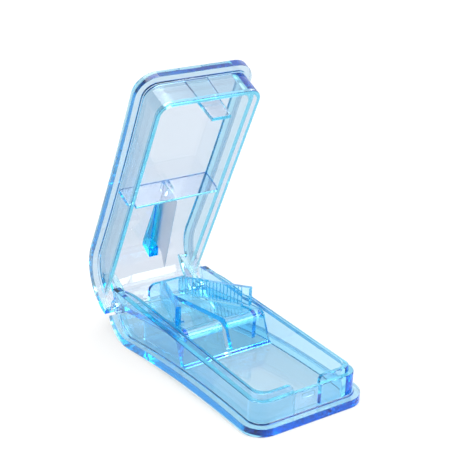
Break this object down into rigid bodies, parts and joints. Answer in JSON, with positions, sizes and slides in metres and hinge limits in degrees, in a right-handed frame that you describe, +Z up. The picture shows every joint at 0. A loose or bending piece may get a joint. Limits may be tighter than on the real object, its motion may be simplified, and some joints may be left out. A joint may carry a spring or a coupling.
{
  "type": "pill splitter",
  "caption": "Pocket tablet cutter: translucent base and hinged lid with steel blade, V-shaped seat, side flanges and a front latch tongue; lid stored open.",
  "frame": {"origin": "centre of the heel's flat on the table, under the rounded rear of the base", "axes": "+X to the right across the case, -Y towards the front latch, +Z up from the table"},
  "size_m": [0.0382, 0.0896, 0.0856],
  "materials": {
    "base_plastic": "polished clear blue moulding",
    "seat_plastic": "polished clear blue moulding",
    "fence_plastic": "polished clear blue moulding, ribbed inner faces",
    "lid_plastic": "polished clear blue moulding",
    "blade_steel": "ground strip with a bevelled edge",
    "clamp_plastic": "thick clear blue moulding"
  },
  "bodies": {
    "base": {"base_shell": "base_plastic", "pill_seat": "seat_plastic", "fence_left": "fence_plastic", "fence_right": "fence_plastic"},
    "lid": {"lid_shell": "lid_plastic", "blade": "blade_steel", "blade_clamp": "clamp_plastic"}
  },
  "joints": [
    {"name": "lid_hinge", "type": "hinge", "parent": "base", "child": "lid", "pos_m": [0, 0.01047, 0.00862], "axis": [1, 0, 0], "range_deg": [-40, 65.2]}
  ]
}
